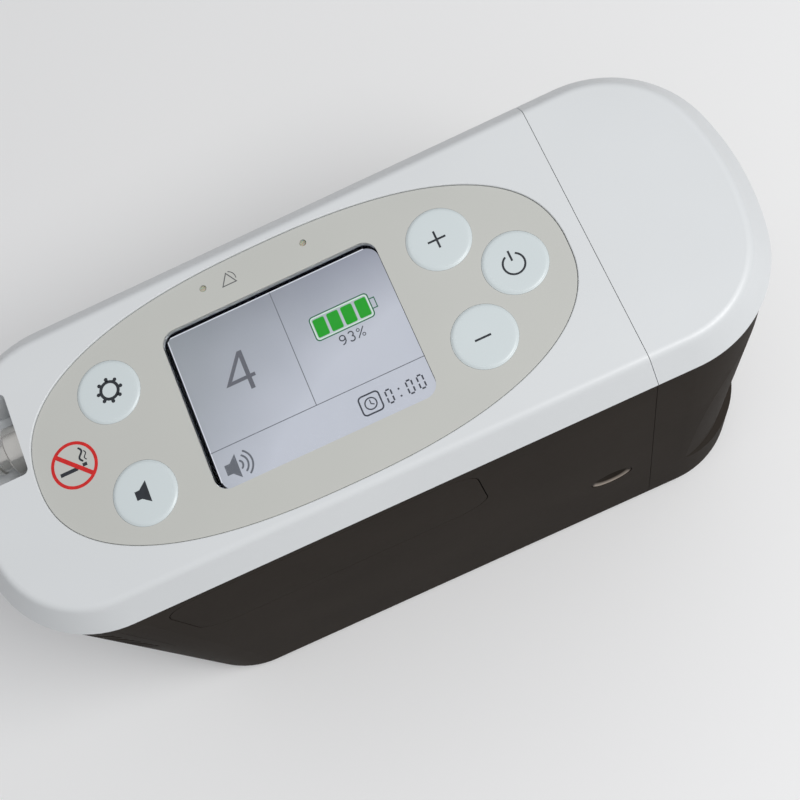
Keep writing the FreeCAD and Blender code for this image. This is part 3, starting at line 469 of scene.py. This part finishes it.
class Graphic:
    """Flat strokes and shapes as thin closed solids in one mesh, about a centre on a surface.

    Their heights differ a little, so that strokes that cross don't share a plane.
    """

    def __init__(self, centre):
        self.bm = bmesh.new()
        self.centre = centre
        self.count = 0

    def heights(self):
        self.count += 1
        return -INK_SUNK, INK_HEIGHT + LAYER * (self.count % LAYERS)

    def loop(self, points, height):
        cx, cy, cz = self.centre
        return [self.bm.verts.new((cx + x * MM, cy + y * MM, cz + height * MM)) for x, y in points]

    def side(self, first, second):
        for index in range(len(first)):
            following = (index + 1) % len(first)
            self.bm.faces.new((first[index], first[following], second[following], second[index]))

    def fill(self, outline):
        """A filled shape."""
        low, high = self.heights()
        bottom = self.loop(outline, low)
        top = self.loop(outline, high)
        self.bm.faces.new(top)
        self.bm.faces.new(bottom[::-1])
        self.side(bottom, top)

    def ring(self, outline, width):
        """A stroke along a closed outline."""
        low, high = self.heights()
        outer = moved(outline, -width / 2, True)
        inner = moved(outline, width / 2, True)
        loops = [self.loop(outer, low), self.loop(outer, high)]
        loops += [self.loop(inner, high), self.loop(inner, low)]
        for first, second in zip(loops, loops[1:] + loops[:1]):
            self.side(first, second)

    def stroke(self, points, width, round_ends=False):
        """A stroke along an open line."""
        left = moved(points, width / 2, False)
        right = moved(points, -width / 2, False)
        outline = left[::-1] + right
        if round_ends:
            start = cap(points[0], points[1], width / 2)
            end = cap(points[-1], points[-2], width / 2)
            outline = left[::-1] + start + right + end
        self.fill(outline)

    def piece(self, name, made, body="housing", slot="display_panel"):
        bmesh.ops.recalc_face_normals(self.bm, faces=self.bm.faces)
        finished(self.bm, name, made, body)


def cap(end, before, radius):
    """The half circle that rounds a stroke's end, without its two corners."""
    away = Vector(end) - Vector(before)
    heading = math.degrees(math.atan2(away.y, away.x))
    return arc(end, radius, heading - 90, heading + 90, 8)[1:-1]


def finished(bm, name, made, body=None, smooth=False):
    """Turns a bmesh into a piece that rides on a body, if one is given."""
    mesh = bpy.data.meshes.new(name)
    bm.to_mesh(mesh)
    bm.free()
    mesh.polygons.foreach_set("use_smooth", [smooth] * len(mesh.polygons))
    piece = bpy.data.objects.new(name, mesh)
    scene.collection.objects.link(piece)
    mesh.materials.append(made.data)
    if body:
        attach(piece, body)
    return piece


# ---------------------------------------------------------------- display
def add_display():
    """The lit picture on the display, with its frame lines, figures and symbols."""
    lo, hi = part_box("display_module")
    centre = middle_of("display_module")
    right = (hi.x - lo.x) / 2 / MM
    left = LEFT_STRIP - right
    low = (lo.y - hi.y) / 2 / MM
    high = -TOP_STRIP - low
    light = Graphic(centre)
    light.fill(soft_corner_picture(left, right, low, high))
    light.piece("screen_image", screen_light(centre, right * MM, -low * MM))

    raised = middle_of("display_module", ABOVE_SCREEN)
    corner = 3.0
    border = Graphic(raised)
    border.stroke([(left, low + corner), (left, high), (right - corner, high)], 0.24)
    border.piece("screen_border", lit("screen_border", (0.72, 0.74, 0.80)))

    grey = lit("screen_grey", (0.135, 0.145, 0.165))
    dark = lit("screen_dark", (0.055, 0.060, 0.075))
    rules = Graphic(raised)
    status_top = -11.4
    split = 0.3
    rules.stroke([(left, status_top), (right, status_top)], 0.2)
    rules.stroke([(split, status_top), (split, high)], 0.2)
    rules.piece("screen_rules", grey)

    figures = Graphic(raised)
    figures.stroke([(-12.9, 0.0), (-12.9, 11.1)], 1.2)
    figures.stroke([(-11.1, 3.5), (-18.5, 3.5), (-13.1, 10.9)], 1.0)
    figures.piece("screen_figure", lit("screen_figure", (0.130, 0.135, 0.155)))
    add_battery_symbol(raised)
    add_speaker_symbol(raised, grey)
    add_timer(raised, dark)


def soft_corner_picture(left, right, low, high):
    """The picture's outline: square at the upper left, and three corners that follow the rounded display."""
    steps = 8
    corners = rounded(left, right, low, high, 3.5, steps)
    upper_right = corners[:steps + 1]
    lower_two = corners[2 * (steps + 1):]
    return [(left, high)] + lower_two + upper_right


def add_battery_symbol(centre):
    """A battery with four full cells and a knob at its right end."""
    left, right, low, high = 6.95, 23.35, 4.1, 10.9
    dark = Graphic(centre)
    dark.ring(rounded(left, right, low, high, 1.0), 0.32)
    near, far = right + 0.1, right + 1.4
    dark.stroke([(near, high - 2.0), (far, high - 2.0), (far, low + 2.0), (near, low + 2.0)], 0.26)
    dark.piece("screen_battery_outline", lit("screen_dark_green", (0.007, 0.12, 0.05)))
    pale = Graphic(centre)
    pale.ring(rounded(left + 0.32, right - 0.32, low + 0.32, high - 0.32, 0.8), 0.36)
    pale.piece("screen_battery_edge", lit("screen_pale_green", (0.62, 0.76, 0.66)))
    green = Graphic(centre)
    pitch, width = 3.95, 3.2
    for number in range(4):
        start = left + 0.7 + pitch * number
        green.fill(rounded(start, start + width, low + 0.75, high - 0.85, 0.45))
    green.piece("screen_battery_cells", lit("screen_green", (0.015, 0.345, 0.018)))


def add_speaker_symbol(centre, made):
    symbol = Graphic(centre)
    back, neck, mouth, middle = -27.4, -25.9, -23.9, -17.3
    symbol.fill([(back, middle + 1.4), (neck, middle + 1.4), (mouth, middle + 3.3), (mouth, middle - 3.3),
                 (neck, middle - 1.4), (back, middle - 1.4)])
    for radius in (1.3, 2.7, 3.9):
        symbol.stroke(arc((mouth - 0.05, middle), radius, -52, 52), 0.5, True)
    symbol.piece("screen_speaker", made)


def add_timer(centre, made):
    """Charge in per cent, a clock symbol in a box, and a time in segment figures."""
    symbol = Graphic(centre)
    figure = 0.32
    symbol.ring(circle((13.1, 2.2), 0.72), figure)
    symbol.stroke([(13.85, 2.3), (13.8, 1.2), (13.4, 0.6), (12.7, 0.35)], figure)
    symbol.stroke(arc((15.5, 2.3), 0.68, 150, -80, 12), figure)
    symbol.stroke(arc((15.5, 1.0), 0.72, 80, -150, 12), figure)
    symbol.stroke([(17.1, 0.3), (19.2, 2.9)], 0.28)
    for spot in ((17.6, 2.45), (18.75, 0.75)):
        symbol.ring(circle(spot, 0.4, 12), 0.2)
    symbol.ring(rounded(10.45, 15.95, -19.6, -14.4, 1.0), 0.42)
    symbol.ring(circle((13.2, -17.0), 1.55), 0.34)
    symbol.stroke([(13.2, -15.9), (13.2, -17.05), (14.0, -17.5)], 0.3)
    for left in (17.55, 23.25, 26.3):
        add_zero(symbol, left, left + 1.5, -19.1, -15.5)
    for height in (-16.5, -18.5):
        symbol.fill(circle((21.05, height), 0.27, 10))
    symbol.piece("screen_timer", made)


def add_zero(graphic, left, right, low, high):
    """A nought in six straight segments."""
    width = 0.42
    gap = 0.25
    middle = (low + high) / 2
    for y in (low, high):
        graphic.stroke([(left + gap, y), (right - gap, y)], width)
    for x in (left, right):
        for first, last in ((low, middle), (middle, high)):
            graphic.stroke([(x, first + gap), (x, last - gap)], width)


# ---------------------------------------------------------------- prints and buttons
def add_icons(dark):
    """The buttons' symbols, a little off their centres as on the object."""
    bar = 0.54
    plus = Graphic(middle_of("plus_button", ABOVE_MEMBRANE))
    plus.stroke([(-2.95, 0.05), (1.95, 0.05)], bar)
    plus.stroke([(-0.5, -2.4), (-0.5, 2.5)], bar)
    plus.piece("plus_icon", dark, "plus_button", "button_plastic")

    minus = Graphic(middle_of("minus_button", ABOVE_MEMBRANE))
    minus.stroke([(-2.7, -0.2), (1.7, -0.2)], bar)
    minus.piece("minus_icon", dark, "minus_button", "button_plastic")

    power = Graphic(middle_of("power_button", ABOVE_MEMBRANE))
    power.stroke(arc((-0.4, -0.3), 2.85, 118, 422, 48), 0.52)
    power.stroke([(-0.5, 0.6), (-0.5, 3.5)], 0.52)
    power.piece("power_icon", dark, "power_button", "button_plastic")

    horn = Graphic(middle_of("mute_button", ABOVE_MEMBRANE))
    horn.fill([(-2.5, 1.2), (-1.2, 1.2), (1.05, 3.0), (1.05, -2.9), (-1.2, -1.2), (-2.5, -1.2)])
    horn.piece("mute_icon", dark, "mute_button", "button_plastic")
    add_gear(dark)


def add_gear(dark):
    gear = Graphic(middle_of("settings_button", ABOVE_MEMBRANE))
    cx, cy = 0.45, 0.2
    ring_r, tooth_r = 2.36, 3.15
    teeth = 8
    gear.ring(circle((cx, cy), ring_r, 40), 0.8)
    for tooth in range(teeth):
        angle = 2 * math.pi * tooth / teeth
        inner = (cx + (ring_r + 0.1) * math.cos(angle), cy + (ring_r + 0.1) * math.sin(angle))
        outer = (cx + tooth_r * math.cos(angle), cy + tooth_r * math.sin(angle))
        gear.stroke([inner, outer], 0.85)
        gear.fill(circle(outer, 0.5, 12))
    gear.piece("settings_icon", dark, "settings_button", "button_plastic")


def add_prints(dark, top):
    """A plain no-smoking pictogram and a small alert mark, printed on the control panel."""
    red = ink("red_ink", (0.68, 0.012, 0.010), 0.6)
    sign_x, sign_y = -76.3 * MM, 0.2 * MM
    ring_r = 5.9
    bar_end = 4.15
    sign = Graphic((sign_x, sign_y, top))
    sign.ring(circle((0, 0), ring_r, 64), 0.85)
    sign.stroke([(-bar_end, bar_end), (bar_end, -bar_end)], 1.15)
    sign.piece("sign_ring", red, "housing", "panel_plastic")
    stick = Graphic((sign_x, sign_y, top - 0.02 * MM))
    stick.stroke([(-4.3, -1.2), (0.6, -1.2)], 1.0)
    stick.stroke([(2.1, -0.9), (3.3, -0.9)], 0.9)
    for start, height, sway, width in ((2.4, 3.6, 0.55, 0.5), (3.5, 2.4, 0.35, 0.25)):
        stick.stroke(curl(start, 0.2, height, sway), width, True)
    stick.piece("sign_stick", dark, "housing", "panel_plastic")

    grey = ink("grey_ink", (0.11, 0.115, 0.12))
    mark = Graphic((-21.5 * MM, 29.0 * MM, top))
    mark.ring([(0.0, 2.2), (-1.95, -1.05), (1.95, -1.05)], 0.24)
    mark.stroke(arc((-0.2, 0.2), 2.35, 68, -8), 0.2)
    mark.piece("alert_mark", grey, "housing", "panel_plastic")


def curl(x, low, height, sway, steps=16):
    """A rising line that swings once each way."""
    points = []
    for step in range(steps + 1):
        share = step / steps
        points.append((x - sway * math.sin(2 * math.pi * share), low + height * share))
    return points


def add_membrane(button):
    """The overlay's embossed disc over a button: its section, turned about the button's axis."""
    cx, cy = middle_of(button)[:2]
    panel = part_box("control_panel")[1].z
    section = MEMBRANE_TOP + MEMBRANE_UNDERSIDE
    turns = 96
    bm = bmesh.new()
    spokes = []
    poles = [bm.verts.new((cx, cy, panel + section[end][1] * MM)) for end in (0, -1)]
    for step in range(turns):
        angle = 2 * math.pi * step / turns
        along = MM * math.cos(angle)
        across = MM * math.sin(angle)
        places = [(cx + radius * along, cy + radius * across, panel + height * MM)
                  for radius, height in section[1:-1]]
        spokes.append([bm.verts.new(place) for place in places])
    for first, second in zip(spokes, spokes[1:] + spokes[:1]):
        bm.faces.new((poles[0], first[0], second[0]))
        bm.faces.new((poles[1], second[-1], first[-1]))
        for index in range(len(first) - 1):
            bm.faces.new((first[index], first[index + 1], second[index + 1], second[index]))
    bmesh.ops.recalc_face_normals(bm, faces=bm.faces)
    name = button.replace("button", "membrane")
    membrane = finished(bm, name, MATERIALS["button_plastic"], smooth=True)
    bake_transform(membrane)


# ---------------------------------------------------------------- foam filter and latch spring
def add_foam():
    """The particle filter: a foam pad with soft edges and an uneven cut face."""
    lo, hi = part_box("intake_filter")
    size = hi - lo
    middle = (lo + hi) / 2
    cell = 0.9 * MM
    cells = [max(2, round(length / cell)) for length in size]
    bm = bmesh.new()
    bmesh.ops.create_cube(bm, size=1.0)
    bmesh.ops.scale(bm, vec=size, verts=bm.verts)
    bmesh.ops.translate(bm, vec=middle, verts=bm.verts)
    for axis, count in enumerate(cells):
        for number in range(1, count):
            point = lo.copy()
            point[axis] += size[axis] * number / count
            normal = Vector((0, 0, 0))
            normal[axis] = 1
            geometry = bm.verts[:] + bm.edges[:] + bm.faces[:]
            bmesh.ops.bisect_plane(bm, geom=geometry, plane_co=point, plane_no=normal)
    soft = 0.7 * MM
    uneven = 0.12 * MM
    for vert in bm.verts:
        core = Vector([min(max(vert.co[k], lo[k] + soft), hi[k] - soft) for k in range(3)])
        out = vert.co - core
        if out.length > 1e-9:
            rough = noise.noise(vert.co * 700) * uneven
            vert.co = core + out.normalized() * (min(out.length, soft) - uneven + rough)
    foam = finished(bm, "foam_filter", MATERIALS["filter_foam"], "filter_door", smooth=True)
    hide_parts("intake_filter")


def add_spring():
    """Compression spring with closed end coils behind the release button."""
    lo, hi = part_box("release_spring")
    wire = 0.3 * MM
    radius = (hi.x - lo.x) / 2 - wire
    cx = (lo.x + hi.x) / 2
    cz = (lo.z + hi.z) / 2
    low = lo.y + wire
    high = hi.y - wire
    turns = 6.0
    closed = 1.0
    steps = 36
    around = 10
    bm = bmesh.new()
    rings = []
    count = int(turns * steps)
    touching = 2.1 * wire
    for step in range(count + 1):
        turn = turns * step / count
        share = (turn - closed) / (turns - 2 * closed)
        share = min(max(share, 0.0), 1.0)
        share = share * share * (3 - 2 * share) * 0.25 + share * 0.75
        lead = touching * min(turn, closed) / closed
        tail = touching * max(turn - (turns - closed), 0) / closed
        y = low + lead + tail + (high - low - 2 * touching) * share
        angle = 2 * math.pi * turn
        out = Vector((math.cos(angle), 0, math.sin(angle)))
        spine = Vector((cx, y, cz)) + out * radius
        ring = []
        for corner in range(around):
            turned = 2 * math.pi * corner / around
            aside = out * math.cos(turned) + Vector((0, 1, 0)) * math.sin(turned)
            ring.append(bm.verts.new(spine + aside * wire))
        rings.append(ring)
    for first, second in zip(rings, rings[1:]):
        for corner in range(around):
            following = (corner + 1) % around
            bm.faces.new((first[corner], first[following], second[following], second[corner]))
    bm.faces.new(rings[0])
    bm.faces.new(rings[-1][::-1])
    bmesh.ops.recalc_face_normals(bm, faces=bm.faces)
    spring = finished(bm, "latch_spring", MATERIALS["steel"], "housing", smooth=True)
    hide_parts("release_spring")
    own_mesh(spring)


# ---------------------------------------------------------------- floor, light and camera
def add_floor():
    """A pale floor at the feet's lowest point."""
    half = 2.0
    level = cad_box[0][2]
    mesh = bpy.data.meshes.new("floor")
    corners = [(-half, -half, level), (half, -half, level), (half, half, level), (-half, half, level)]
    mesh.from_pydata(corners, [], [(0, 1, 2, 3)])
    floor = bpy.data.objects.new("floor", mesh)
    scene.collection.objects.link(floor)
    made = Material("floor", (0.97, 0.97, 0.97), 0.8)
    made.cloudy((0.955, 0.955, 0.96), 3)
    mesh.materials.append(made.data)


def add_key_light():
    """A round lamp above the right of the object, turned to its middle."""
    light = bpy.data.lights.new("key", "AREA")
    light.shape = "DISK"
    light.size = 0.5
    light.energy = 6.1
    light.color = (1.0, 0.998, 0.99)
    lamp = bpy.data.objects.new("key", light)
    scene.collection.objects.link(lamp)
    lamp.location = (0.42, -0.32, 0.96)
    beam = Vector((0, 0, 0.1)) - lamp.location
    lamp.rotation_euler = beam.to_track_quat("-Z", "Y").to_euler()


def add_daylight():
    """Soft daylight from above that fades towards the horizon."""
    world = bpy.data.worlds.new("studio")
    world.use_nodes = True
    tree = world.node_tree
    background = tree.nodes["Background"]
    direction = tree.nodes.new("ShaderNodeTexCoord").outputs["Generated"]
    height = tree.nodes.new("ShaderNodeSeparateXYZ")
    tree.links.new(direction, height.inputs[0])
    ramp = tree.nodes.new("ShaderNodeValToRGB")
    tree.links.new(height.outputs["Z"], ramp.inputs["Fac"])
    ramp.color_ramp.elements[0].position = 0.0
    ramp.color_ramp.elements[0].color = (0.14, 0.14, 0.145, 1)
    ramp.color_ramp.elements[1].position = 0.75
    ramp.color_ramp.elements[1].color = (0.97, 0.98, 1.0, 1)
    tree.links.new(ramp.outputs["Color"], background.inputs["Color"])
    background.inputs["Strength"].default_value = 0.52
    scene.world = world


def add_camera():
    """A camera above the near long side, looking down at the control panel."""
    camera = bpy.data.cameras.new("camera")
    camera.lens = 60.9
    camera.sensor_width = 36
    camera.shift_x = 0.02
    camera.shift_y = -0.04
    camera.clip_start = 0.01
    holder = bpy.data.objects.new("camera", camera)
    scene.collection.objects.link(holder)
    holder.location = (0.0220, -0.1202, 0.4810)
    holder.rotation_euler = [math.radians(angle) for angle in (16.176, 10.009, -22.865)]
    scene.camera = holder
    scene.view_settings.view_transform = "Standard"


paint_frame()
add_display()
dark_ink = ink("dark_ink", (0.020, 0.024, 0.032))
add_icons(dark_ink)
add_prints(dark_ink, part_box("control_panel")[1].z)
for name in BUTTONS:
    add_membrane(name)
add_foam()
add_spring()
add_floor()
add_daylight()
add_key_light()
add_camera()
